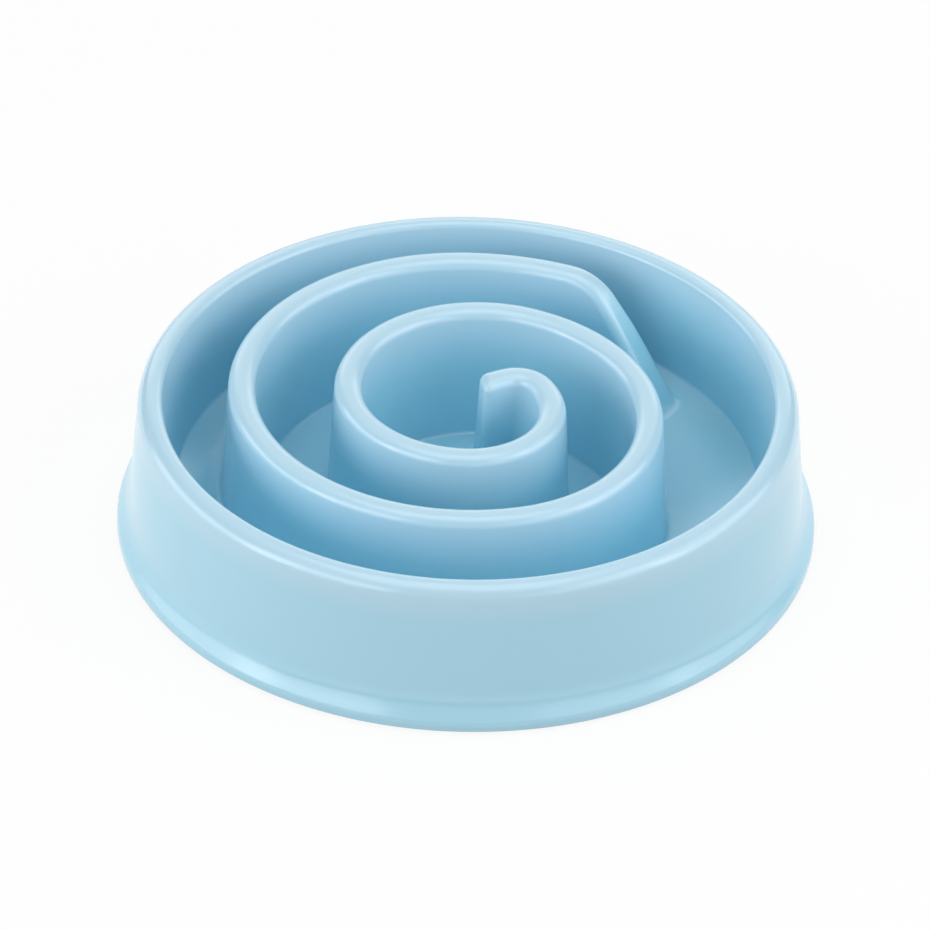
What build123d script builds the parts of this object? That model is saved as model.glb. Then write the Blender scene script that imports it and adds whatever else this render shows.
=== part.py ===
from build123d import *
import math
import os

# Slow feeder bowl: one moulded shell with a spiral ridge, standing on plug-in rubber feet.
# Millimetres, +Z up. The origin is on the table, under the bowl's axis. The front is -Y.

# Driving dimensions of the shell
WALL = 2.0                      # thickness of skirt, inner wall, floor and ridge sides
BASE_RADIUS = 100.0             # outer edge of the foot flange
FLANGE_EDGE = 2.6               # height of the flange's upright edge
FLANGE_ROUND = 3.0              # round on the flange's upper corner
FLARE_HEIGHT = 7.4              # where the skirt starts to flare out, above the flange's underside
FLARE_WIDTH = 3.4               # how far the flare stands out from the skirt
FLARE_ROUND = 12.0              # hollow round where the skirt meets the flare
SKIRT_DRAFT = 5.0               # lean of the skirt, degrees
RIM_HEIGHT = 43.5               # rim crest above the flange's underside
RIM_WIDTH = 6.5                 # skirt to inner wall, measured across the rim
RIM_INNER_ROUND = 2.0
RIM_OUTER_ROUND = 4.6
INNER_DRAFT = 6.2               # lean of the inner wall, degrees
FLOOR_HEIGHT = 2.2              # middle of the floor above the flange's underside
FLOOR_RISE = 9.5                # how far the dished floor climbs to the inner wall
FLOOR_FLAT_RADIUS = 45.0        # flat middle of the floor
FLOOR_CORNER_ROUND = 1.2        # hollow round between floor and inner wall
DRAWN_FLOOR_RADIUS = 83.5       # floor radius that the ridge's path and the foot circle are drawn for

# Driving dimensions of the spiral ridge
RIDGE_DROP = 0.5                # ridge top below the rim crest
RIDGE_WIDTH = 7.5
RIDGE_ROUND = 3.0
RIDGE_DRAFT = 2.2               # lean of each ridge side, degrees
RIDGE_FOOT_ROUND = 2.0          # hollow round between ridge and floor
RIDGE_START = (7.02, 9.98)      # centre of the ridge's rounded inner end
RIDGE_HEADING = 30.0            # direction of the centreline there, degrees from +X
# Centreline as tangent arcs, all turning clockwise seen from above: radius, sweep in degrees
RIDGE_ARCS = [
    (30.0, 8.0),                # end of the hook in the middle
    (7.65, 79.7),               # bend of the hook
    (23.9, 124.2),              # inner turn, front
    (34.65, 79.9),              # inner turn, left
    (37.9, 118.1),              # inner turn, back
    (52.95, 94.6),              # outer turn, right
    (47.05, 50.3),              # outer turn, front right
    (63.9, 195.5),              # outer turn, left and back
]
TAIL_RADIUS = 80.0              # last arc, behind on the right
TAIL_LEVEL = 29.7               # stretch of the last arc that keeps its full height
TAIL_BEND = 17.0                # radius of the bend from level to slope, seen from the side
TAIL_SLOPE = 51.0               # slope of the ridge's run-out, degrees
RAMP_STEPS = 3                  # flats round the bend of the run-out
HOLLOW_LEAST_ROUND = 0.5        # least round inside the ridge's top

# Driving dimensions of the rubber feet
FOOT_NAMES = ["rear_right", "rear_left", "front_left", "front_right"]
FOOT_COUNT = len(FOOT_NAMES)
FOOT_CIRCLE = 79.5              # distance of the feet from the axis
FOOT_FIRST_ANGLE = 30.0
FOOT_PROUD = 1.0                # foot below the flange's underside
FOOT_HEAD_DIAMETER = 11.0
FOOT_HEAD_HEIGHT = 2.2
FOOT_EDGE_ROUND = 0.5
FOOT_STEM_DIAMETER = 5.0
FOOT_STEM_LENGTH = 4.0
STEM_LEAD_IN = 0.4              # bevel round the stem's tip
STEM_CLEARANCE = 0.05           # all round between stem and socket
SOCKET_SPARE_DEPTH = 0.4        # free depth above the stem
BOSS_WALL = 2.5                 # boss wall round the socket

# Limits for rounds and searches
SMALL_SHARE = 0.3               # most of a side that a small round may use
LARGE_SHARE = 0.68              # most of a side that a large round may use
CREST_SHARE = 0.9               # most of the ridge's half width that its round may use
BEND_SHARE = 0.9                # most of the tightest bend's inner radius that the foot round may use
NEAR = 0.01                     # closer than this counts as touching
HALVINGS = 60                   # steps of the search for the floor's corner

# Heights above the table
flange_z = FOOT_PROUD
flare_z = flange_z + FLARE_HEIGHT
edge_z = flange_z + FLANGE_EDGE
rim_z = flange_z + RIM_HEIGHT
floor_z = flange_z + FLOOR_HEIGHT
floor_edge_z = floor_z + FLOOR_RISE
ridge_z = rim_z - RIDGE_DROP

# Radii of the turned profile
skirt_slope = math.tan(math.radians(SKIRT_DRAFT))
inner_slope = math.tan(math.radians(INNER_DRAFT))
ridge_slope = math.tan(math.radians(RIDGE_DRAFT))
skirt_foot_r = BASE_RADIUS - FLARE_WIDTH
skirt_top_r = skirt_foot_r - (rim_z - flare_z) * skirt_slope
inner_top_r = skirt_top_r - RIM_WIDTH
floor_edge_r = inner_top_r - (rim_z - floor_edge_z) * inner_slope
dish_run = floor_edge_r - FLOOR_FLAT_RADIUS
dish_radius = (dish_run**2 + FLOOR_RISE**2) / (2 * FLOOR_RISE)

# The ridge's path and the foot circle spread with the floor
spread = floor_edge_r / DRAWN_FLOOR_RADIUS
ridge_start = (RIDGE_START[0] * spread, RIDGE_START[1] * spread)
ridge_arcs = [(radius * spread, sweep) for radius, sweep in RIDGE_ARCS]
tail_radius = TAIL_RADIUS * spread
tail_level = TAIL_LEVEL * spread
foot_circle = FOOT_CIRCLE * spread

# Round along the ridge's foot, within its tightest bend
ridge_foot_half = RIDGE_WIDTH / 2 + (ridge_z - floor_z) * ridge_slope
tightest_bend = min(radius for radius, sweep in ridge_arcs) - ridge_foot_half
ridge_foot_round = min(RIDGE_FOOT_ROUND, BEND_SHARE * tightest_bend)

# The ridge's run-out, measured along its path
ramp_angle = math.radians(TAIL_SLOPE)
bend_run = TAIL_BEND * math.sin(ramp_angle)
bend_drop = TAIL_BEND * (1 - math.cos(ramp_angle))
ramp_run = bend_run + (ridge_z - bend_drop - floor_z) / math.tan(ramp_angle)


def skirt_r(z, inset):
    """Radius of the skirt's face at height z, set in by a thickness."""
    return skirt_top_r + (rim_z - z) * skirt_slope - inset / math.cos(math.radians(SKIRT_DRAFT))


def inner_r(z, inset):
    """Radius of the inner wall's face at height z, set into the plastic by a thickness."""
    return inner_top_r - (rim_z - z) * inner_slope + inset / math.cos(math.radians(INNER_DRAFT))


def floor_corner(inset):
    """Point where the dished floor meets the inner wall, both set into the plastic."""
    radius = dish_radius + inset
    low, high = floor_z - inset, floor_z + dish_radius
    for _ in range(HALVINGS):
        z = (low + high) / 2
        reach = math.sqrt(max(radius**2 - (floor_z + dish_radius - z) ** 2, 0))
        if FLOOR_FLAT_RADIUS + reach < inner_r(z, inset):
            low = z
        else:
            high = z
    return inner_r(low, inset), low


def under_skin(inset, bottom_z):
    """Half section of all that lies under the bowl's skin, set in by a thickness."""
    corner = floor_corner(inset)
    roof_z = rim_z - inset
    middle_z = floor_z - inset
    flat_end = (FLOOR_FLAT_RADIUS, middle_z)
    roof_in = (inner_r(roof_z, inset), roof_z)
    roof_out = (skirt_r(roof_z, inset), roof_z)
    turns = [corner, roof_in, roof_out]
    if inset == 0:
        turns += [(skirt_foot_r, flare_z), (BASE_RADIUS, edge_z), (BASE_RADIUS, bottom_z)]
    else:
        turns.append((skirt_r(bottom_z, inset), bottom_z))
    outline = [
        Line((0, bottom_z), (0, middle_z)),
        Line((0, middle_z), flat_end),
        TangentArc(flat_end, corner, tangent=(1, 0)),
    ]
    outline += [Line(a, b) for a, b in zip(turns, turns[1:])]
    outline.append(Line(turns[-1], (0, bottom_z)))
    return make_face(outline)


def round_corner(face, point, radius):
    """Round the one corner of a flat section that is nearest to a point."""
    corner = face.vertices().sort_by_distance((*point, 0))[0]
    return fillet(corner, radius)


def round_within(radius, before, corner, after, share):
    """Radius that uses no more than a share of the two sides beside a corner."""
    side_in = Vector(*corner) - Vector(*before)
    side_out = Vector(*after) - Vector(*corner)
    half_turn = math.radians(side_in.get_angle(side_out)) / 2
    return min(radius, share * min(side_in.length, side_out.length) / math.tan(half_turn))


def turned(face):
    """Turn a half section round the bowl's axis."""
    return revolve(Plane.XZ * face, Axis.Z)


def rounded_skin():
    """Half section of the bowl as one block, with its corners rounded."""
    flat_end = (FLOOR_FLAT_RADIUS, floor_z)
    turns = [flat_end, floor_corner(0), (inner_top_r, rim_z), (skirt_top_r, rim_z)]
    turns += [(skirt_foot_r, flare_z), (BASE_RADIUS, edge_z), (BASE_RADIUS, flange_z)]
    rounds = [
        (FLOOR_CORNER_ROUND, SMALL_SHARE),
        (RIM_INNER_ROUND, SMALL_SHARE),
        (RIM_OUTER_ROUND, LARGE_SHARE),
        (FLARE_ROUND, LARGE_SHARE),
        (FLANGE_ROUND, SMALL_SHARE),
    ]
    outside = under_skin(0, flange_z)
    for (radius, share), sides in zip(rounds, zip(turns, turns[1:], turns[2:])):
        outside = round_corner(outside, sides[1], round_within(radius, *sides, share))
    return outside


def ridge_section(inset, bottom_z, top_z):
    """Upright section of the ridge, set in by a thickness, centred on its path."""
    lean = inset / math.cos(math.radians(RIDGE_DRAFT))
    top_half = RIDGE_WIDTH / 2 + (ridge_z - top_z) * ridge_slope - lean
    low_half = RIDGE_WIDTH / 2 + (ridge_z - bottom_z) * ridge_slope - lean
    corners = [(-low_half, bottom_z), (-top_half, top_z), (top_half, top_z), (low_half, bottom_z)]
    face = make_face(Polyline(*corners, close=True))
    most_round = CREST_SHARE * min(top_half, top_z - bottom_z)
    radius = min(max(RIDGE_ROUND - inset, HOLLOW_LEAST_ROUND), most_round)
    for corner in corners[1:3]:
        face = round_corner(face, corner, radius)
    return face


def station(x, y, heading):
    """Upright plane across the ridge's path."""
    angle = math.radians(heading)
    return Plane(
        origin=(x, y, 0),
        x_dir=(-math.sin(angle), math.cos(angle), 0),
        z_dir=(math.cos(angle), math.sin(angle), 0),
    )


def arc_centre(x, y, heading, radius):
    """Centre of an arc that turns clockwise from a point."""
    angle = math.radians(heading)
    return x + radius * math.sin(angle), y - radius * math.cos(angle)


def arc_end(x, y, heading, radius, sweep):
    """Point and heading at the end of an arc that turns clockwise."""
    cx, cy = arc_centre(x, y, heading, radius)
    angle = math.radians(heading - sweep)
    return cx - radius * math.sin(angle), cy + radius * math.cos(angle), heading - sweep


def arc_run(section, place, radius, sweep):
    """Carry a section along an arc that turns clockwise."""
    axis = Axis((*arc_centre(*place, radius), 0), (0, 0, -1))
    return revolve(station(*place) * section, axis, sweep)


def tail_place(run):
    """Point and heading on the ridge's last arc, from the end of its level stretch."""
    place = (*ridge_start, RIDGE_HEADING)
    for radius, sweep in ridge_arcs:
        place = arc_end(*place, radius, sweep)
    return arc_end(*place, tail_radius, math.degrees((tail_level + run) / tail_radius))


def ramp_height(run):
    """Height of the ridge's top along its run-out, from the end of the level stretch."""
    if run < bend_run:
        return ridge_z - TAIL_BEND + math.sqrt(TAIL_BEND**2 - run**2)
    return ridge_z - bend_drop - (run - bend_run) * math.tan(ramp_angle)


def level_ridge(inset, bottom_z):
    """The ridge's rounded inner end and all its level stretches, set in by a thickness."""
    section = ridge_section(inset, bottom_z, ridge_z - inset)
    place = (*ridge_start, RIDGE_HEADING)
    one_side = section & Pos(RIDGE_WIDTH, 0) * Rectangle(2 * RIDGE_WIDTH, 4 * rim_z)
    stretches = [revolve(station(*place) * one_side, Axis((*ridge_start, 0), (0, 0, 1)), 180)]
    for radius, sweep in ridge_arcs + [(tail_radius, math.degrees(tail_level / tail_radius))]:
        stretches.append(arc_run(section, place, radius, sweep))
        place = arc_end(*place, radius, sweep)
    return stretches


def run_out(inset, bottom_z):
    """The ridge's sloping end, set in by a thickness, cut flat in steps round its bend."""
    section = ridge_section(inset, bottom_z, ridge_z - inset)
    sweep = math.degrees((ramp_run + RIDGE_WIDTH) / tail_radius)
    end = arc_run(section, tail_place(0), tail_radius, sweep)
    room = 4 * rim_z
    above = Box(room, room, room, align=(Align.CENTER, Align.CENTER, Align.MIN))
    for step in range(1, RAMP_STEPS + 1):
        slope = TAIL_SLOPE * step / RAMP_STEPS
        run = TAIL_BEND * math.sin(math.radians(slope))
        crest = station(*tail_place(run)) * Pos(0, ramp_height(run))
        end = end.cut(crest * Rot(slope - 90, 0, 0) * Pos(0, 0, -inset) * above)
    return end


def make_ridge(inset, bottom_z):
    """The whole spiral ridge in stretches, set in by a thickness."""
    return level_ridge(inset, bottom_z) + [run_out(inset, bottom_z)]


def floor_height(r):
    """Height of the floor's upper face at a distance from the axis."""
    rise = dish_radius - math.sqrt(dish_radius**2 - max(r - FLOOR_FLAT_RADIUS, 0) ** 2)
    return floor_z + rise


def is_on_run_out(point):
    """True for a point beside the ridge's sloping end."""
    x, y, heading = tail_place(0)
    centre_x, centre_y = arc_centre(x, y, heading, tail_radius)
    angle = math.radians(heading)
    ahead = (point.X - x) * math.cos(angle) + (point.Y - y) * math.sin(angle)
    reach = math.hypot(point.X - centre_x, point.Y - centre_y)
    return ahead > 0 and abs(reach - tail_radius) < RIDGE_WIDTH


def is_level_foot(edge):
    """True for an edge where a level stretch of the ridge stands on the floor."""
    if is_on_run_out(edge @ 0.5):
        return False
    for share in (0.1, 0.5, 0.9):
        point = edge @ share
        r = math.hypot(point.X, point.Y)
        if r > floor_edge_r - FLOOR_CORNER_ROUND or abs(point.Z - floor_height(r)) > NEAR:
            return False
    if edge.geom_type != GeomType.CIRCLE:
        return True
    return math.hypot(edge.arc_center.X, edge.arc_center.Y) > NEAR


def foot_place(index):
    """Centre of one foot on the table."""
    angle = math.radians(FOOT_FIRST_ANGLE + index * 360 / FOOT_COUNT)
    return Pos(foot_circle * math.cos(angle), foot_circle * math.sin(angle), 0)


def standing(radius, low_z, high_z):
    """Upright cylinder between two heights."""
    return Pos(0, 0, low_z) * extrude(Circle(radius), high_z - low_z)


def make_bowl():
    """The one moulding: shell, hollow ridge and a boss with a blind socket over each foot."""
    block = turned(rounded_skin())
    bowl = block.fuse(*make_ridge(0, flange_z + FLOOR_HEIGHT / 2)).solid()
    bowl = bowl.fillet(ridge_foot_round, [edge for edge in bowl.edges() if is_level_foot(edge)])
    below = flange_z - 2 * WALL
    bowl = bowl.cut(turned(under_skin(WALL, below)))
    bowl = bowl.cut(*make_ridge(WALL, below))
    core = turned(under_skin(WALL / 2, below))
    socket_radius = FOOT_STEM_DIAMETER / 2 + STEM_CLEARANCE
    socket_top = FOOT_HEAD_HEIGHT + FOOT_STEM_LENGTH + SOCKET_SPARE_DEPTH
    boss = standing(socket_radius + BOSS_WALL, FOOT_HEAD_HEIGHT, rim_z)
    socket = standing(socket_radius, FOOT_HEAD_HEIGHT - WALL, socket_top)
    for index in range(FOOT_COUNT):
        bowl = bowl.fuse((foot_place(index) * boss) & core)
        bowl = bowl.cut(foot_place(index) * socket)
    return bowl


def make_foot():
    """Rubber foot: a flat head with a plug-in stem."""
    head = standing(FOOT_HEAD_DIAMETER / 2, 0, FOOT_HEAD_HEIGHT)
    edge_round = min(FOOT_EDGE_ROUND, SMALL_SHARE * FOOT_HEAD_HEIGHT)
    head = fillet(head.edges().group_by(Axis.Z)[0], edge_round)
    stem_top = FOOT_HEAD_HEIGHT + FOOT_STEM_LENGTH
    stem = standing(FOOT_STEM_DIAMETER / 2, FOOT_HEAD_HEIGHT, stem_top)
    stem = chamfer(stem.edges().group_by(Axis.Z)[-1], STEM_LEAD_IN)
    return head + stem


os.makedirs("parts", exist_ok=True)
bowl_shell = make_bowl()
export_step(bowl_shell, "parts/bowl_shell.step")
foot = make_foot()
for index, place_name in enumerate(FOOT_NAMES):
    export_step(foot_place(index) * foot, f"parts/foot_{place_name}.step")
print("rim inner radius", round(inner_top_r, 2), "floor radius", round(floor_edge_r, 2))
print("shell volume", round(bowl_shell.volume), "foot volume", round(foot.volume))
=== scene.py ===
import math

import bmesh
import bpy
import numpy as np
from mathutils import Matrix, Vector
from mathutils.geometry import delaunay_2d_cdt


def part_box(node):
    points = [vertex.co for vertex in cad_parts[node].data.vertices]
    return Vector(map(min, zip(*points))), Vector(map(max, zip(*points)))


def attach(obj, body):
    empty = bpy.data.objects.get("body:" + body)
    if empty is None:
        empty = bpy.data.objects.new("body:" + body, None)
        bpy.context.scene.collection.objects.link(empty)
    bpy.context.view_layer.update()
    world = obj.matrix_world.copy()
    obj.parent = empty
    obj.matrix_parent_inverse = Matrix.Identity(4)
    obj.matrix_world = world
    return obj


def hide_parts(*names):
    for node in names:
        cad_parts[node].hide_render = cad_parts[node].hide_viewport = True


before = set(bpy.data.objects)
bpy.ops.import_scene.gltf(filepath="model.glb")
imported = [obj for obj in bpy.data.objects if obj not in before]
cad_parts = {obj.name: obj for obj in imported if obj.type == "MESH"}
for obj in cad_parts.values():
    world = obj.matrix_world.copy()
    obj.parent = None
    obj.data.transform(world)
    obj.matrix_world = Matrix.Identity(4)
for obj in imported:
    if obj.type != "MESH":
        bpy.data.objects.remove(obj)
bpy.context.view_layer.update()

# Slow feeder bowl: one glossy moulded shell with a spiral ridge, on four rubber feet.
# The shell is worked out in millimetres and turned into metres when its mesh is made.
# Camera, lights and the ground are in metres.
MM = 0.001

# The shell's own box gives its radius and heights
shell_low, shell_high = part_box("bowl_shell")
BASE_RADIUS = (shell_high.x - shell_low.x) / 2 / MM
FLANGE_Z = shell_low.z / MM
RIM_Z = shell_high.z / MM

# Turned profile, as in the part, which is sharp under the flange and inside the rim
WALL = 2.0                      # thickness of skirt, inner wall, floor and ridge sides
FLANGE_EDGE = 2.6               # height of the flange's upright edge
FLANGE_ROUND = 3.0              # round on the flange's upper corner
FLANGE_FOOT_ROUND = 0.5         # rounds on the flange's two lower edges
FLARE_HEIGHT = 7.4              # where the skirt starts to flare out, above the flange's underside
FLARE_WIDTH = 3.4               # how far the flare stands out from the skirt
FLARE_ROUND = 12.0              # hollow round where the skirt meets the flare
SKIRT_DRAFT = math.radians(5.0)
RIM_WIDTH = 6.5                 # skirt to inner wall, measured across the rim
RIM_INNER_ROUND = 2.0
RIM_OUTER_ROUND = 4.6
ROOF_ROUND = 1.0                # hollow rounds inside the rim
INNER_DRAFT = math.radians(6.2)
FLOOR_HEIGHT = 2.2              # middle of the floor above the flange's underside
FLOOR_RISE = 9.5                # how far the dished floor climbs to the inner wall
FLOOR_FLAT_RADIUS = 45.0        # flat middle of the floor
FLOOR_CORNER_ROUND = 1.2        # hollow round between floor and inner wall

# Spiral ridge, on the part's path, with a little more taper and a tighter round at its foot
RIDGE_DROP = 0.5                # ridge top below the rim crest
RIDGE_WIDTH = 7.5
RIDGE_ROUND = 3.0
HOLLOW_ROUND = 1.0              # round inside the ridge's top
RIDGE_DRAFT = math.radians(3.2)
RIDGE_FOOT_ROUND = 1.2          # hollow round between ridge and floor
RIDGE_START = (7.02, 9.98)      # where the centreline starts, at the ridge's inner end
RIDGE_HEADING = 30.0            # direction of the centreline there, degrees from +X
# Centreline as tangent arcs, all turning clockwise seen from above: radius, sweep in degrees
RIDGE_ARCS = [
    (30.0, 8.0),                # end of the hook in the middle
    (7.65, 79.7),               # bend of the hook
    (23.9, 124.2),              # inner turn, front
    (34.65, 79.9),              # inner turn, left
    (37.9, 118.1),              # inner turn, back
    (52.95, 94.6),              # outer turn, right
    (47.05, 50.3),              # outer turn, front right
    (63.9, 195.5),              # outer turn, left and back
]

# The ridge's inner end, blunt and cut at a slant
END_SKEW = math.radians(15.0)
END_LENGTH = 0.95               # how far it stands out, against the half width
END_SQUARENESS = 5.0            # more would make its corners sharper

# The ridge's run-out, which draws in and melts into the floor
TAIL_RADIUS = 80.0              # last arc, behind on the right
TAIL_LEVEL = 29.7               # stretch of the last arc that keeps its full height
TAIL_BEND = 17.0                # radius of the bend from level to slope, seen from the side
TAIL_SLOPE = math.radians(51.0)
TAIL_NARROW_FROM = 20.0         # where along the run-out its sides start to draw in
TAIL_NARROWING = 0.08           # loss of half width for each millimetre from there
TAIL_BLEND = 2.5                # how softly the run-out meets the floor
HOLLOW_BLEND = 0.5              # the same for the hollow under it
LOW_RIDGE = 6.5                 # below this height the run-out's section is pressed flat

# Bosses and sockets for the feet, as in the part
FOOT_NODES = ["foot_rear_right", "foot_rear_left", "foot_front_left", "foot_front_right"]
FOOT_HEAD_HEIGHT = 2.2
SOCKET_RADIUS = 2.55
SOCKET_TOP = 6.6
BOSS_RADIUS = 5.05

# Fineness of the mesh
TURN_STEPS = 360                # round the bowl
ROUND_STEPS = 10                # on a rounded corner
SIDE_STEPS = 6                  # down the ridge's side
FOOT_STEPS = 6                  # on the round at the ridge's foot
PATH_STEP = 1.2                 # longest step along the ridge
PATH_STEP_ANGLE = 5.0           # largest turn in one step, degrees
TAIL_STEP = 0.6                 # longest step along the run-out
CAP_STEPS = 28                  # round the ridge's inner end
BOSS_STEPS = 48                 # round a boss
GRID_STEP = 3.0                 # between points on the floor
GRID_CLEAR = 1.6                # least distance of these from the floor's edges
SHARP_ANGLE = math.radians(38.0)
HALVINGS = 60                   # steps of a search
NEAR = 1e-7                     # points closer than this count as one

# Look of the shell's plastic, which is paler towards the crests, as they look in the photograph. This
# paler colour is a painted highlight where light falls most, on the crests and the skirt. Deep inside,
# the plastic keeps its plain colour.
SHELL_DEEP = (0.360, 0.725, 0.885, 1)
# colour of the painted highlight on the crests and the skirt
SHELL_PAINTED_HIGHLIGHT = (0.510, 0.760, 0.905, 1)
PAINTED_HIGHLIGHT_FROM = 24.0                # height from which the painted highlight sets in, growing up to the rim
SKIRT_PAINTED_HIGHLIGHT = 0.42               # share of the painted highlight on the skirt
SKIRT_INNER_R = 86.5            # the skirt's painted highlight sets in from this radius
SKIRT_OUTER_R = 92.5            # and is full from this one
SHELL_IOR = 1.7
GLOSS_RANGE = (0.16, 0.24)      # least and most roughness
CLOUD_SCALE = 22.0              # clouds in the gloss, about 45 mm across
CLOUD_DETAIL = 2.0
WAVE_SCALE = 70.0               # waves in the surface, about 14 mm long
WAVE_DETAIL = 1.0
WAVE_STRENGTH = 0.25
WAVE_DEPTH = 0.10
SPECK_SCALE = 55.0              # cells about 18 mm across, with one speck in each
SPECK_CORE = 0.010              # radius of a speck's middle, against the cell
SPECK_EDGE = 0.022              # and of its soft edge
SPECK_DEPTH = 0.25              # share of the speck's colour in its middle
SPECK_COLOUR = (0.25, 0.45, 0.58, 1)

# Look of the feet's rubber
RUBBER_DARK = (0.44, 0.50, 0.53, 1)
RUBBER_LIGHT = (0.52, 0.58, 0.61, 1)
RUBBER_ROUGHNESS = 0.55
GRAIN_SCALE = 900.0             # grain about 1 mm across

# Camera, fitted to the bowl's circles in the photograph
CAMERA_DISTANCE = 1.8
CAMERA_ELEVATION = math.radians(36.18)
CAMERA_AIM = Vector((-0.0006, 0.0, 0.0195))
CAMERA_ROLL = math.radians(1.31)
CAMERA_LENS = 242.62            # millimetres, as the sensor
SENSOR_WIDTH = 36.0

# White ground and surround
WHITE = (1, 1, 1, 1)
GROUND_GREY = (0.5, 0.5, 0.5, 1)
GROUND_SIZE = 12.0
GROUND_SHOWN = 0.8              # share of plain white to the camera, and the rest keeps the shadow
GROUND_GLOW = 1.12              # strength of that white

# Soft lamps that face the bowl: name, place, width and height, power in watts
LIGHT_AIM = Vector((0.0, 0.0, 0.03))
LIGHTS = [
    ("top", (0.0, 0.0, 1.3), (1.0, 1.0), 3.9),
    ("top_wide", (0.0, 0.0, 1.2), (2.0, 2.0), 5.0),
    ("sky_back", (0.0, 1.0, 0.85), (1.0, 0.6), 1.2),
    ("back_low", (0.0, 1.3, 0.45), (1.6, 0.6), 4.6),
    ("right", (1.25, 0.0, 0.45), (1.2, 0.6), 3.8),
    ("right_high", (1.0, 0.0, 0.85), (0.9, 0.6), 2.3),
    ("left", (-1.3, 0.0, 0.35), (1.6, 0.6), 6.5),
    ("front_left", (-0.9, -0.8, 0.5), (1.1, 0.7), 4.7),
    ("front_left_high", (-0.8, -0.7, 0.8), (0.9, 0.7), 1.0),
    ("front_right", (0.9, -0.8, 0.5), (1.1, 0.7), 2.8),
    ("front_right_high", (0.9, -0.55, 0.9), (0.7, 0.6), 1.8),
    ("front", (0.0, -1.25, 0.45), (1.2, 0.5), 1.2),
]

# Heights and radii that follow
flare_z = FLANGE_Z + FLARE_HEIGHT
edge_z = FLANGE_Z + FLANGE_EDGE
floor_z = FLANGE_Z + FLOOR_HEIGHT
floor_edge_z = floor_z + FLOOR_RISE
ridge_z = RIM_Z - RIDGE_DROP
roof_z = RIM_Z - WALL
skirt_foot_r = BASE_RADIUS - FLARE_WIDTH
skirt_top_r = skirt_foot_r - (RIM_Z - flare_z) * math.tan(SKIRT_DRAFT)
inner_top_r = skirt_top_r - RIM_WIDTH
floor_edge_r = inner_top_r - (RIM_Z - floor_edge_z) * math.tan(INNER_DRAFT)
dish_run = floor_edge_r - FLOOR_FLAT_RADIUS
dish_radius = (dish_run**2 + FLOOR_RISE**2) / (2 * FLOOR_RISE)
dish_centre_z = floor_z + dish_radius
bend_run = TAIL_BEND * math.sin(TAIL_SLOPE)
bend_drop = TAIL_BEND * (1 - math.cos(TAIL_SLOPE))


class Skin:
    """Collects the points and faces of one closed mesh, in millimetres."""

    def __init__(self):
        self.points = []
        self.faces = []

    def add(self, points):
        """Add a row of points and return their numbers."""
        first = len(self.points)
        self.points.extend(tuple(map(float, point)) for point in points)
        return list(range(first, len(self.points)))

    def plan(self, numbers):
        """The points with these numbers, seen from above."""
        return np.array([self.points[number][:2] for number in numbers])

    def join(self, row, next_row):
        """Fill the strip between two rows of equal length, with triangles where two corners are one."""
        for corners in zip(row, row[1:], next_row[1:], next_row):
            corners = list(dict.fromkeys(corners))
            if len(corners) > 2:
                self.faces.append(corners)

    def join_all(self, rows):
        """Fill the strips between all rows, in order."""
        for row, next_row in zip(rows, rows[1:]):
            self.join(row, next_row)

    def build(self, name):
        """Make the object, with outward faces and smooth shading between sharp edges."""
        mesh = bpy.data.meshes.new(name)
        mesh.from_pydata([Vector(point) * MM for point in self.points], [], self.faces)
        work = bmesh.new()
        work.from_mesh(mesh)
        bmesh.ops.recalc_face_normals(work, faces=work.faces)
        work.to_mesh(mesh)
        work.free()
        mesh.shade_smooth()
        mesh.set_sharp_from_angle(angle=SHARP_ANGLE)
        piece = bpy.data.objects.new(name, mesh)
        bpy.context.scene.collection.objects.link(piece)
        return piece


def circle(radius, steps, x=0.0, y=0.0):
    """Points round a circle, seen from above."""
    angles = [2 * math.pi * step / steps for step in range(steps)]
    return [(x + radius * math.cos(angle), y + radius * math.sin(angle)) for angle in angles]


def skirt_r(z, inset):
    """Radius of the skirt's face at a height, set into the plastic."""
    return skirt_top_r + (RIM_Z - z) * math.tan(SKIRT_DRAFT) - inset / math.cos(SKIRT_DRAFT)


def inner_r(z, inset):
    """Radius of the inner wall's face at a height, set into the plastic."""
    return inner_top_r - (RIM_Z - z) * math.tan(INNER_DRAFT) + inset / math.cos(INNER_DRAFT)


def floor_height(r, inset):
    """Height of the dished floor at a radius, set into the plastic."""
    out = np.maximum(r - FLOOR_FLAT_RADIUS, 0)
    return dish_centre_z - np.sqrt((dish_radius + inset) ** 2 - out**2)


def floor_under(x, y, inset):
    """Height of the dished floor at a point, set into the plastic."""
    return floor_height(math.hypot(x, y), inset)


def dish_meets_wall(inset):
    """Point where the dish and the inner wall meet, both set into the plastic."""
    low, high = floor_z - inset, dish_centre_z
    for _ in range(HALVINGS):
        z = (low + high) / 2
        reach = math.sqrt(max((dish_radius + inset) ** 2 - (dish_centre_z - z) ** 2, 0))
        if FLOOR_FLAT_RADIUS + reach < inner_r(z, inset):
            low = z
        else:
            high = z
    return inner_r(low, inset), low


def rounded(corners):
    """Points of an outline whose corners are rounded by the radius given with each."""
    points = []
    for index, (r, z, radius) in enumerate(corners):
        here = Vector((r, z))
        if radius == 0:
            points.append(here)
            continue
        back = (Vector(corners[index - 1][:2]) - here).normalized()
        ahead = (Vector(corners[index + 1][:2]) - here).normalized()
        half = back.angle(ahead) / 2
        centre = here + (back + ahead).normalized() * (radius / math.sin(half))
        first = here + back * (radius / math.tan(half)) - centre
        last = here + ahead * (radius / math.tan(half)) - centre
        turn = first.angle(last)
        for step in range(ROUND_STEPS + 1):
            share = step / ROUND_STEPS
            mixed = first * math.sin((1 - share) * turn) + last * math.sin(share * turn)
            points.append(centre + mixed / math.sin(turn))
    return [tuple(point) for point in points]


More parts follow.
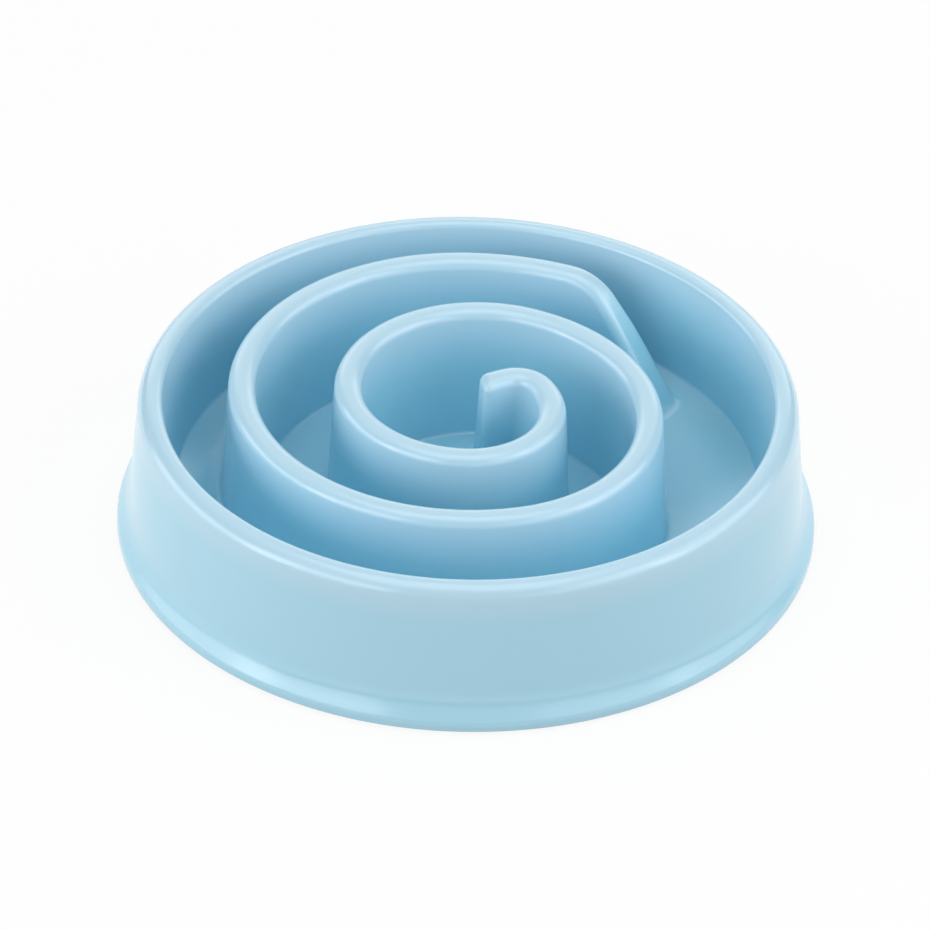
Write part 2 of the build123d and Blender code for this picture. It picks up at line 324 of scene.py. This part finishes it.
def floor_round():
    """Points of the hollow round from the dished floor up to the inner wall."""
    centre_r, centre_z = dish_meets_wall(-FLOOR_CORNER_ROUND)
    start = math.atan2(centre_z - dish_centre_z, centre_r - FLOOR_FLAT_RADIUS)
    points = []
    for step in range(ROUND_STEPS + 1):
        angle = start + (-INNER_DRAFT - start) * step / ROUND_STEPS
        r = centre_r + FLOOR_CORNER_ROUND * math.cos(angle)
        points.append((r, centre_z + FLOOR_CORNER_ROUND * math.sin(angle)))
    return points


def turned_profile():
    """Outline of the turned body, from the floor's edge over the rim and back inside the skirt."""
    below_rim = RIM_Z - RIM_WIDTH
    corners = [
        (inner_r(below_rim, 0), below_rim, 0),
        (inner_top_r, RIM_Z, RIM_INNER_ROUND),
        (skirt_top_r, RIM_Z, RIM_OUTER_ROUND),
        (skirt_foot_r, flare_z, FLARE_ROUND),
        (BASE_RADIUS, edge_z, FLANGE_ROUND),
        (BASE_RADIUS, FLANGE_Z, FLANGE_FOOT_ROUND),
        (skirt_r(FLANGE_Z, WALL), FLANGE_Z, FLANGE_FOOT_ROUND),
        (skirt_r(roof_z, WALL), roof_z, ROOF_ROUND),
        (inner_r(roof_z, WALL), roof_z, ROOF_ROUND),
        (*dish_meets_wall(WALL), 0),
    ]
    return floor_round() + rounded(corners)


def arc_end(x, y, heading, radius, sweep):
    """Point and heading at the end of an arc that turns clockwise."""
    start, end = math.radians(heading), math.radians(heading - sweep)
    centre_x, centre_y = x + radius * math.sin(start), y - radius * math.cos(start)
    return centre_x - radius * math.sin(end), centre_y + radius * math.cos(end), heading - sweep


def tail_place(run):
    """Point and heading on the last arc, from the end of its level stretch."""
    place = (*RIDGE_START, RIDGE_HEADING)
    for radius, sweep in RIDGE_ARCS:
        place = arc_end(*place, radius, sweep)
    return arc_end(*place, TAIL_RADIUS, math.degrees((TAIL_LEVEL + run) / TAIL_RADIUS))


def ramp_height(run):
    """Height and slope of the ridge's crest, from the end of the level stretch."""
    if run <= 0:
        return ridge_z, 0.0
    if run < bend_run:
        return ridge_z - TAIL_BEND + math.sqrt(TAIL_BEND**2 - run**2), math.asin(run / TAIL_BEND)
    return ridge_z - bend_drop - (run - bend_run) * math.tan(TAIL_SLOPE), TAIL_SLOPE


def crest_over_floor(x, y, run, inset):
    """Height of the ridge's crest above the floor, both set into the plastic."""
    height, slope = ramp_height(run)
    return height - inset / math.cos(slope) - floor_under(x, y, inset)


def melted_crest(x, y, run, inset, blend):
    """Height of the ridge's crest above the floor, where the run-out melts softly into it."""
    over = crest_over_floor(x, y, run, inset)
    if run > 0 and over < blend:
        return max(over + blend, 0) ** 2 / (4 * blend)
    return over


def run_out_end(inset, blend):
    """Where the run-out has melted into the floor."""
    low, high = 0.0, 2 * ridge_z
    for _ in range(HALVINGS):
        run = (low + high) / 2
        x, y = tail_place(run)[:2]
        if crest_over_floor(x, y, run, inset) > -blend:
            low = run
        else:
            high = run
    return low


def path_places(inset, blend):
    """Points, headings and runs along the whole centreline, to the tip of the run-out."""
    places = []
    place = (*RIDGE_START, RIDGE_HEADING)
    level_sweep = math.degrees(TAIL_LEVEL / TAIL_RADIUS)
    for radius, sweep in RIDGE_ARCS + [(TAIL_RADIUS, level_sweep)]:
        step_angle = min(PATH_STEP_ANGLE, math.degrees(PATH_STEP / radius))
        steps = math.ceil(sweep / step_angle)
        for step in range(steps):
            places.append((*arc_end(*place, radius, sweep * step / steps), 0.0))
        place = arc_end(*place, radius, sweep)
    end = run_out_end(inset, blend)
    steps = math.ceil(end / TAIL_STEP)
    for step in range(steps + 1):
        run = end * step / steps
        places.append((*tail_place(run), run))
    return places


def half_width(z, run, inset):
    """Half the ridge's width at a height, set into the plastic."""
    narrowing = TAIL_NARROWING * max(run - TAIL_NARROW_FROM, 0)
    half = RIDGE_WIDTH / 2 + (ridge_z - z) * math.tan(RIDGE_DRAFT) - narrowing
    return half - inset / math.cos(RIDGE_DRAFT)


def foot_round(foot_out, floor, slope):
    """Points of the hollow round between the ridge's side and the sloping floor."""
    tilt = math.atan(slope)
    side_normal = np.array([math.cos(RIDGE_DRAFT), math.sin(RIDGE_DRAFT)])
    floor_normal = np.array([-math.sin(tilt), math.cos(tilt)])
    corner = np.array([foot_out, floor])
    reach = [side_normal @ corner + RIDGE_FOOT_ROUND, floor_normal @ corner + RIDGE_FOOT_ROUND]
    centre = np.linalg.solve(np.array([side_normal, floor_normal]), reach)
    angles = np.linspace(math.pi + RIDGE_DRAFT, 1.5 * math.pi + tilt, FOOT_STEPS + 1)
    steps = np.column_stack([np.cos(angles), np.sin(angles)])
    return [tuple(centre + RIDGE_FOOT_ROUND * step) for step in steps]


def half_section(crest, floor, slope, run, inset):
    """Distance and height of points from the ridge's crest down one side to the floor."""
    crest_round = HOLLOW_ROUND if inset else RIDGE_ROUND
    round_out = min(crest_round, half_width(crest, run, inset))
    round_down = min(round_out / math.cos(ramp_height(run)[1]), (crest - floor) / 2)
    points = []
    for step in range(ROUND_STEPS + 1):
        angle = math.pi / 2 * (1 - step / ROUND_STEPS)
        z = crest - round_down * (1 - math.sin(angle))
        points.append((half_width(z, run, inset) - round_out * (1 - math.cos(angle)), z))
    foot = [(half_width(floor, run, inset), floor)]
    if not inset:
        foot = foot_round(*foot[0], slope)
    side_top, side_low = crest - round_down, foot[0][1]
    for step in range(1, SIDE_STEPS):
        z = side_top + (side_low - side_top) * step / SIDE_STEPS
        points.append((half_width(z, run, inset), z))
    return points + foot


def floor_beside(foot_x, foot_y, across_x, across_y, inset):
    """Height of the floor at the ridge's foot, and its slope away from the ridge."""
    r = math.hypot(foot_x, foot_y)
    outward = (across_x * foot_x + across_y * foot_y) / r
    floor = floor_height(r, inset)
    nearby = floor_height(r + outward * RIDGE_FOOT_ROUND, inset)
    return floor, (nearby - floor) / RIDGE_FOOT_ROUND


def side_row(x, y, heading, run, side, inset, blend, reach=1.0):
    """Points down the left side of the ridge, or for side -1 the right one, without the crest."""
    across = math.radians(heading) + side * math.pi / 2
    across_x, across_y = math.cos(across), math.sin(across)
    middle = floor_under(x, y, inset)
    over = melted_crest(x, y, run, inset, blend)
    foot_out = reach * half_width(middle, run, inset)
    foot_x, foot_y = x + across_x * foot_out, y + across_y * foot_out
    floor, slope = floor_beside(foot_x, foot_y, across_x, across_y, inset)
    section = half_section(middle + max(over, LOW_RIDGE), floor, slope, run, inset)
    widest = section[-1][0]
    low_share = min(over / LOW_RIDGE, 1.0)
    points = []
    for index, (out, z) in enumerate(section):
        even = widest * (index + 1) / len(section)
        out = reach * (low_share * out + (1 - low_share) * even)
        side_x, side_y = x + across_x * out, y + across_y * out
        ground = floor_under(side_x, side_y, inset)
        points.append((side_x, side_y, ground + low_share * (z - ground)))
    # The last point lies exactly on the floor
    end_x, end_y, _ = points[-1]
    points[-1] = (end_x, end_y, floor_under(end_x, end_y, inset))
    return points


def crest_point(x, y, run, inset, blend):
    """Point on the middle of the ridge's top."""
    return x, y, floor_under(x, y, inset) + melted_crest(x, y, run, inset, blend)


def end_reach(turn):
    """How far the ridge's blunt inner end stands out in a direction, against its half width."""
    across, along = math.cos(math.radians(turn)), math.sin(math.radians(turn))
    face = (along * math.cos(END_SKEW) + across * math.sin(END_SKEW)) / END_LENGTH
    return (abs(across) ** END_SQUARENESS + max(face, 0) ** END_SQUARENESS) ** (-1 / END_SQUARENESS)


def add_ridge(skin, inset, blend):
    """Add the ridge's faces, or its hollow's, and return the loop where they end on the floor."""
    places = path_places(inset, blend)
    crests = skin.add([crest_point(x, y, run, inset, blend) for x, y, _, run in places])
    sides = {}
    for side in (-1, 1):
        rows = []
        for crest, place in zip(crests, places):
            rows.append([crest] + skin.add(side_row(*place, side, inset, blend)))
        skin.join_all(rows)
        sides[side] = rows
    x, y, heading, run = places[0]
    cap = []
    for step in range(1, CAP_STEPS):
        turn = 180 * step / CAP_STEPS
        row = side_row(x, y, heading + turn, run, 1, inset, blend, end_reach(turn))
        cap.append([crests[0]] + skin.add(row))
    skin.join_all([sides[1][0]] + cap + [sides[-1][0]])
    # Along the right side, across the tip, back along the left side and round the inner end
    loop = [row[-1] for row in sides[-1][:-1]]
    loop += sides[-1][-1][::-1]
    loop += sides[1][-1][1:]
    loop += [row[-1] for row in sides[1][-2::-1]]
    loop += [row[-1] for row in cap]
    return loop


def inside(points, start):
    """Which points lie inside a closed outline, by counting the edges to the right of each."""
    end = np.roll(start, -1, axis=0)
    x, y = points[:, :1], points[:, 1:]
    is_level = end[:, 1] == start[:, 1]
    passes = (start[:, 1] > y) != (end[:, 1] > y)
    # A level edge is never passed, so its rise may be any number but zero
    rise = np.where(is_level, 1.0, end[:, 1] - start[:, 1])
    crossing = start[:, 0] + (y - start[:, 1]) / rise * (end[:, 0] - start[:, 0])
    return np.count_nonzero(passes & (x < crossing), axis=1) % 2 == 1


def floor_grid(reach, outlines):
    """Points spread evenly within a radius, clear of the outlines that stand on the floor."""
    points = []
    for index, y in enumerate(np.arange(-reach, reach, GRID_STEP * math.sqrt(3) / 2)):
        shift = GRID_STEP / 2 * (index % 2)
        points += [(x + shift, y) for x in np.arange(-reach, reach, GRID_STEP)]
    grid = np.array(points)
    grid = grid[np.hypot(grid[:, 0], grid[:, 1]) < reach]
    for outline in outlines:
        away = grid[:, None, :] - outline[None, :, :]
        gap = np.min(np.hypot(away[..., 0], away[..., 1]), axis=1)
        grid = grid[~inside(grid, outline) & (gap > GRID_CLEAR)]
    return grid


def add_floor(skin, ring, holes, inset):
    """Fill the floor between the outer ring and the loops that stand on it."""
    numbers, edges = [], []
    for loop in [ring] + holes:
        places = list(range(len(numbers), len(numbers) + len(loop)))
        edges += list(zip(places, places[1:] + places[:1]))
        numbers += loop
    outlines = [skin.plan(hole) for hole in holes]
    reach = np.hypot(*skin.plan(ring)[0]) - GRID_CLEAR
    grid = floor_grid(reach, outlines)
    heights = floor_height(np.hypot(grid[:, 0], grid[:, 1]), inset)
    numbers += skin.add(np.column_stack([grid, heights]))
    flat = [Vector(point) for point in skin.plan(numbers)]
    _, _, faces, origins, _, _ = delaunay_2d_cdt(flat, edges, [], 0, NEAR)
    triangles = [[numbers[origins[corner][0]] for corner in face] for face in faces]
    centres = np.mean([skin.plan(triangle) for triangle in triangles], axis=1)
    free = np.ones(len(triangles), bool)
    for outline in outlines:
        free &= ~inside(centres, outline)
    skin.faces += [triangle for triangle, is_free in zip(triangles, free) if is_free]


def add_turned(skin):
    """Add the turned body and return its first and last rings."""
    rings = []
    for r, z in turned_profile():
        ring = skin.add([(x, y, z) for x, y in circle(r, TURN_STEPS)])
        rings.append(ring + ring[:1])
    skin.join_all(rings)
    return rings[0][:-1], rings[-1][:-1]


def add_boss(skin, x, y):
    """Add a boss with its blind socket under the floor and return the loop where it starts."""
    wide = circle(BOSS_RADIUS, BOSS_STEPS, x, y)
    narrow = circle(SOCKET_RADIUS, BOSS_STEPS, x, y)
    rows = [
        skin.add([(px, py, floor_under(px, py, WALL)) for px, py in wide]),
        skin.add([(px, py, FOOT_HEAD_HEIGHT) for px, py in wide]),
        skin.add([(px, py, FOOT_HEAD_HEIGHT) for px, py in narrow]),
        skin.add([(px, py, SOCKET_TOP) for px, py in narrow]),
        skin.add([(x, y, SOCKET_TOP)]) * BOSS_STEPS,
    ]
    skin.join_all([row + row[:1] for row in rows])
    return rows[0]


def make_shell():
    """The whole moulding as one closed mesh."""
    skin = Skin()
    floor_ring, under_ring = add_turned(skin)
    add_floor(skin, floor_ring, [add_ridge(skin, 0.0, TAIL_BLEND)], 0.0)
    holes = [add_ridge(skin, WALL, HOLLOW_BLEND)]
    for node in FOOT_NODES:
        low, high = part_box(node)
        holes.append(add_boss(skin, (low.x + high.x) / 2 / MM, (low.y + high.y) / 2 / MM))
    add_floor(skin, under_ring, holes, WALL)
    shell = skin.build("bowl_moulding")
    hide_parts("bowl_shell")
    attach(shell, "root")
    return shell


def new_material(name):
    """A material with a plain surface, and that surface's node."""
    material = bpy.data.materials.new(name)
    material.use_nodes = True
    return material, material.node_tree.nodes["Principled BSDF"]


def add_node(material, kind, values=None, **settings):
    """Add a shader node with its properties and its fixed inputs set."""
    node = material.node_tree.nodes.new(kind)
    for name, setting in settings.items():
        setattr(node, name, setting)
    for name, value in (values or {}).items():
        node.inputs[name].default_value = value
    return node


def add_noise(material, place, values):
    """Add soft noise that is fixed to the object."""
    noise = add_node(material, "ShaderNodeTexNoise", values)
    material.node_tree.links.new(place, noise.inputs["Vector"])
    return noise.outputs["Fac"]


def add_range(material, value, source, target, kind="SMOOTHSTEP"):
    """Add a step that turns one range of values into another."""
    ends = {"From Min": source[0], "From Max": source[1], "To Min": target[0], "To Max": target[1]}
    step = add_node(material, "ShaderNodeMapRange", ends, interpolation_type=kind)
    material.node_tree.links.new(value, step.inputs["Value"])
    return step.outputs["Result"]


def painted_highlight_share(material, place):
    """Share of the painted highlight colour: most on the crests, some on the skirt, none deep inside.
    """
    links = material.node_tree.links
    split = add_node(material, "ShaderNodeSeparateXYZ")
    links.new(place, split.inputs["Vector"])
    high = add_range(material, split.outputs["Z"], (PAINTED_HIGHLIGHT_FROM * MM, RIM_Z * MM), (0, 1))
    plan = add_node(material, "ShaderNodeVectorMath", {1: (1, 1, 0)}, operation="MULTIPLY")
    links.new(place, plan.inputs[0])
    radius = add_node(material, "ShaderNodeVectorMath", operation="LENGTH")
    links.new(plan.outputs["Vector"], radius.inputs[0])
    across_rim = (SKIRT_INNER_R * MM, SKIRT_OUTER_R * MM)
    outside = add_range(material, radius.outputs["Value"], across_rim, (0, SKIRT_PAINTED_HIGHLIGHT))
    most = add_node(material, "ShaderNodeMath", operation="MAXIMUM")
    links.new(high, most.inputs[0])
    links.new(outside, most.inputs[1])
    return most.outputs[0]


def speck_share(material, place):
    """Share of the specks' colour, from the distance to the middle of each."""
    cells = add_node(material, "ShaderNodeTexVoronoi", {"Scale": SPECK_SCALE})
    material.node_tree.links.new(place, cells.inputs["Vector"])
    return add_range(material, cells.outputs["Distance"], (SPECK_CORE, SPECK_EDGE), (SPECK_DEPTH, 0))


def shell_plastic():
    """Glossy pale blue plastic with a painted highlight, paler towards its crests and on the skirt,
    with soft waves and a few tiny specks.
    """
    material, surface = new_material("shell_plastic_painted_light")
    links = material.node_tree.links
    surface.inputs["IOR"].default_value = SHELL_IOR
    place = add_node(material, "ShaderNodeTexCoord").outputs["Object"]
    tint = add_node(material, "ShaderNodeMix", data_type="RGBA")
    tint.inputs["A"].default_value = SHELL_DEEP
    tint.inputs["B"].default_value = SHELL_PAINTED_HIGHLIGHT
    # Painted highlight: the colour turns paler towards the crests and on the skirt
    links.new(painted_highlight_share(material, place), tint.inputs["Factor"])
    flecked = add_node(material, "ShaderNodeMix", data_type="RGBA")
    flecked.inputs["B"].default_value = SPECK_COLOUR
    links.new(speck_share(material, place), flecked.inputs["Factor"])
    links.new(tint.outputs["Result"], flecked.inputs["A"])
    links.new(flecked.outputs["Result"], surface.inputs["Base Color"])
    cloud = add_noise(material, place, {"Scale": CLOUD_SCALE, "Detail": CLOUD_DETAIL})
    links.new(add_range(material, cloud, (0, 1), GLOSS_RANGE, "LINEAR"), surface.inputs["Roughness"])
    waves = add_noise(material, place, {"Scale": WAVE_SCALE, "Detail": WAVE_DETAIL})
    depth = {"Strength": WAVE_STRENGTH, "Distance": WAVE_DEPTH * MM}
    bump = add_node(material, "ShaderNodeBump", depth)
    links.new(waves, bump.inputs["Height"])
    links.new(bump.outputs["Normal"], surface.inputs["Normal"])
    return material


def foot_rubber():
    """Pale grey rubber with a fine grain, softly matt."""
    material, surface = new_material("foot_rubber_look")
    links = material.node_tree.links
    surface.inputs["Roughness"].default_value = RUBBER_ROUGHNESS
    place = add_node(material, "ShaderNodeTexCoord").outputs["Object"]
    tint = add_node(material, "ShaderNodeValToRGB")
    tint.color_ramp.elements[0].color = RUBBER_DARK
    tint.color_ramp.elements[1].color = RUBBER_LIGHT
    links.new(add_noise(material, place, {"Scale": GRAIN_SCALE}), tint.inputs["Fac"])
    links.new(tint.outputs["Color"], surface.inputs["Base Color"])
    return material


def dress_feet():
    """Give the feet's CAD nodes their rubber."""
    rubber = foot_rubber()
    for node in FOOT_NODES:
        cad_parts[node].data.materials.clear()
        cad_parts[node].data.materials.append(rubber)


def ground_white():
    """White to the camera and in reflections, with a faint shadow, and grey to other light."""
    material, surface = new_material("floor_white")
    nodes, links = material.node_tree.nodes, material.node_tree.links
    nodes.remove(surface)
    matt = add_node(material, "ShaderNodeBsdfDiffuse", {"Color": GROUND_GREY})
    shine = add_node(material, "ShaderNodeEmission", {"Strength": GROUND_GLOW})
    seen = add_node(material, "ShaderNodeLightPath")
    share = add_node(material, "ShaderNodeMath", {1: GROUND_SHOWN}, operation="MULTIPLY")
    either = add_node(material, "ShaderNodeMath", operation="MAXIMUM")
    mix = add_node(material, "ShaderNodeMixShader")
    links.new(seen.outputs["Is Camera Ray"], share.inputs[0])
    links.new(share.outputs[0], either.inputs[0])
    links.new(seen.outputs["Is Glossy Ray"], either.inputs[1])
    links.new(either.outputs[0], mix.inputs["Fac"])
    links.new(matt.outputs[0], mix.inputs[1])
    links.new(shine.outputs[0], mix.inputs[2])
    links.new(mix.outputs[0], nodes["Material Output"].inputs["Surface"])
    return material


def make_ground():
    """Level ground that the bowl stands on."""
    mesh = bpy.data.meshes.new("floor")
    half = GROUND_SIZE / 2
    corners = [(-half, -half, 0), (half, -half, 0), (half, half, 0), (-half, half, 0)]
    mesh.from_pydata(corners, [], [(0, 1, 2, 3)])
    mesh.materials.append(ground_white())
    floor = bpy.data.objects.new("floor", mesh)
    bpy.context.scene.collection.objects.link(floor)


def make_world():
    """White surround that the camera sees and that gives no light."""
    world = bpy.data.worlds.new("surround")
    bpy.context.scene.world = world
    world.use_nodes = True
    backdrop = world.node_tree.nodes["Background"]
    backdrop.inputs["Color"].default_value = WHITE
    seen = world.node_tree.nodes.new("ShaderNodeLightPath")
    world.node_tree.links.new(seen.outputs["Is Camera Ray"], backdrop.inputs["Strength"])


def make_light(name, place, size, power):
    """Soft rectangular lamp that faces the bowl."""
    data = bpy.data.lights.new(name, "AREA")
    data.shape = "RECTANGLE"
    data.size, data.size_y = size
    data.energy = power
    lamp = bpy.data.objects.new(name, data)
    lamp.location = place
    lamp.rotation_euler = (LIGHT_AIM - Vector(place)).to_track_quat("-Z", "Y").to_euler()
    bpy.context.scene.collection.objects.link(lamp)


def make_camera():
    """Camera at the photograph's viewing angle."""
    data = bpy.data.cameras.new("camera")
    data.sensor_width = SENSOR_WIDTH
    data.lens = CAMERA_LENS
    camera = bpy.data.objects.new("camera", data)
    bpy.context.scene.collection.objects.link(camera)
    place = Vector((0, -math.cos(CAMERA_ELEVATION), math.sin(CAMERA_ELEVATION))) * CAMERA_DISTANCE
    place.z += FLANGE_Z * MM
    ahead = (CAMERA_AIM - place).normalized()
    level = ahead.cross(Vector((0, 0, 1))).normalized()
    upright = level.cross(ahead)
    right = level * math.cos(CAMERA_ROLL) + upright * math.sin(CAMERA_ROLL)
    up = right.cross(ahead)
    turn = Matrix((right, up, -ahead)).transposed().to_4x4()
    camera.matrix_world = Matrix.Translation(place) @ turn
    bpy.context.scene.camera = camera


bpy.context.scene.view_settings.view_transform = "Standard"
shell = make_shell()
shell.data.materials.append(shell_plastic())
dress_feet()
make_ground()
make_world()
for light in LIGHTS:
    make_light(*light)
make_camera()
